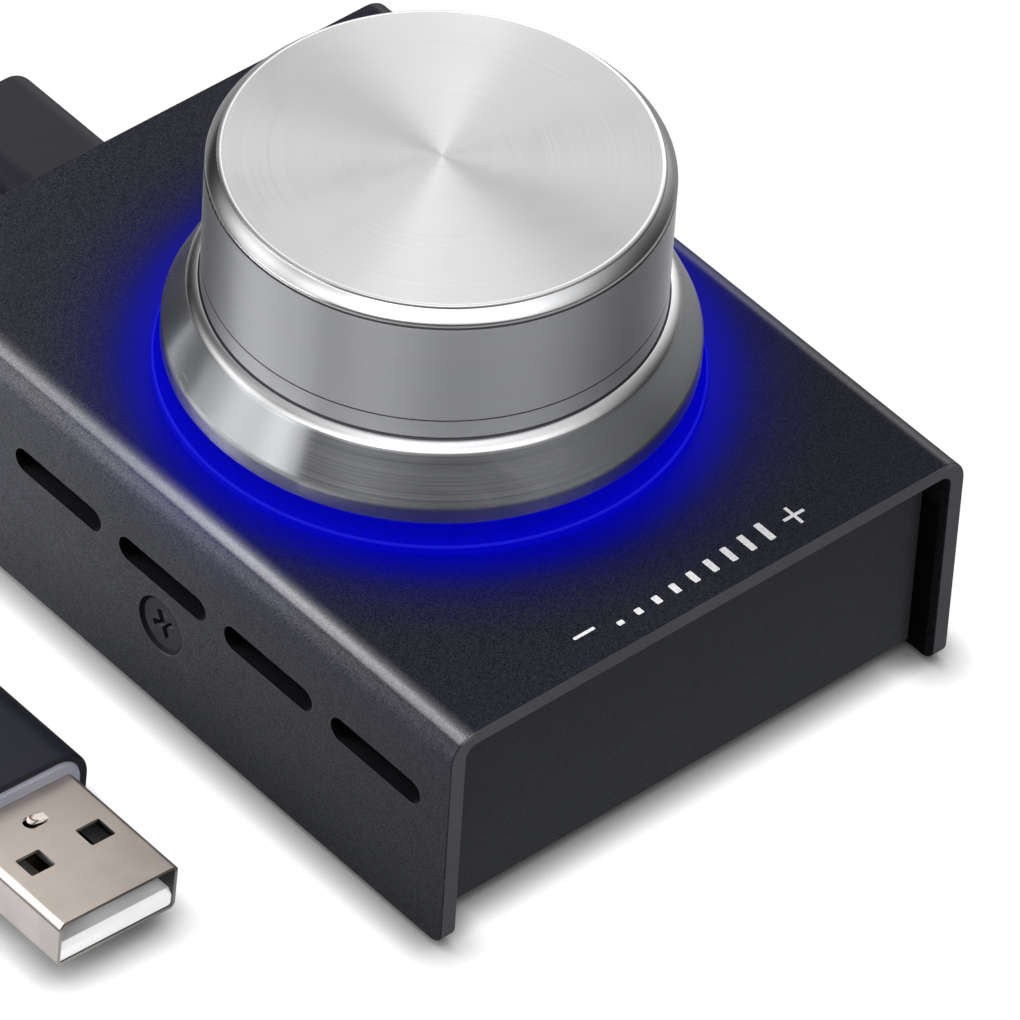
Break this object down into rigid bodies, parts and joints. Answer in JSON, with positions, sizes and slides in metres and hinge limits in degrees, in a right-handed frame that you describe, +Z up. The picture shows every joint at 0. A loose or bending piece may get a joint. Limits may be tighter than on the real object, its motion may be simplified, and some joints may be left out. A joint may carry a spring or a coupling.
{
  "type": "usb volume control knob",
  "caption": "Desktop volume control: a large turned aluminium knob on a slotted black sheet-metal case, lit from below, with a USB cable and plug lying beside it.",
  "frame": {"origin": "on the table under the middle of the case, the plane the feet rest on", "axes": "+Z up; Y runs along the case's long side, from the closed front (-Y) to the end plate with the USB socket (+Y); X runs across the case"},
  "size_m": [0.0936, 0.144, 0.045],
  "materials": {
    "coated_steel": "fine-grained black powder coat, satin",
    "coated_plate": "fine-grained black powder coat, satin, a little lighter",
    "black_screw": "black oxide, satin",
    "foot_rubber": "dull",
    "knob_metal": "turned, satin, with polished beads",
    "hub_plastic": "moulded",
    "guide_plastic": "frosted, translucent",
    "board": "green solder mask",
    "chip": "moulded epoxy",
    "can_metal": "drawn",
    "resistor": "fired ceramic",
    "lamp": "tinted clear",
    "plated_steel": "nickel plate, satin",
    "zinc_casting": "cast, plated",
    "turned_steel": "turned",
    "encoder_plastic": "glass-filled nylon",
    "white_plastic": "moulded",
    "spring_metal": "rolled",
    "tinned_metal": "tinned",
    "contact_gold": "gold flash",
    "core_plastic": "moulded, satin",
    "overmold": "soft PVC, satin",
    "cable": "soft PVC, satin",
    "tie": "woven hook and loop"
  },
  "bodies": {
    "case": {"top_cover": "coated_steel", "base_tray": "coated_plate", "cover_screws": "black_screw", "rubber_feet": "foot_rubber", "main_board": "board", "controller_chip": "chip", "crystal": "can_metal", "board_capacitors": "can_metal", "board_resistors": "resistor", "indicator_leds": "lamp", "usb_socket_shell": "plated_steel", "usb_socket_tongue": "encoder_plastic", "encoder_frame": "zinc_casting", "encoder_housing": "encoder_plastic", "encoder_washer": "spring_metal", "encoder_nut": "spring_metal", "encoder_pins": "tinned_metal", "switch_housing": "encoder_plastic", "switch_dome": "spring_metal", "light_guide": "guide_plastic", "rear_plug_shell": "plated_steel", "rear_plug_overmold": "overmold", "a_plug_shell": "plated_steel", "a_plug_tongue": "white_plastic", "a_plug_contacts": "contact_gold", "a_plug_core": "core_plastic", "a_plug_jacket": "overmold", "rear_lead": "cable", "cable_coil": "cable", "cable_tie": "tie", "front_lead": "cable"},
    "switch_push": {"switch_plunger": "white_plastic"},
    "knob": {"knob_shell": "knob_metal", "knob_hub": "hub_plastic", "encoder_shaft": "turned_steel"},
    "rotor": {"encoder_rotor": "white_plastic"}
  },
  "joints": [
    {"name": "knob_press", "type": "slide", "parent": "case", "child": "switch_push", "axis": [0, 0, -1], "range_m": [0, 0.0005], "stiffness_N_per_m": 8000, "springref_m": -0.0003, "deforming": ["switch_dome"]},
    {"name": "knob_spin", "type": "hinge", "parent": "switch_push", "child": "knob", "pos_m": [0, -0.0012, 0.03], "axis": [0, 0, 1], "continuous": true},
    {"name": "rotor_spin", "type": "hinge", "parent": "case", "child": "rotor", "pos_m": [0, -0.0012, 0.0186], "axis": [0, 0, 1], "continuous": true}
  ],
  "couplings": [
    {"joint": "rotor_spin", "follows": "knob_spin", "ratio": 1}
  ]
}
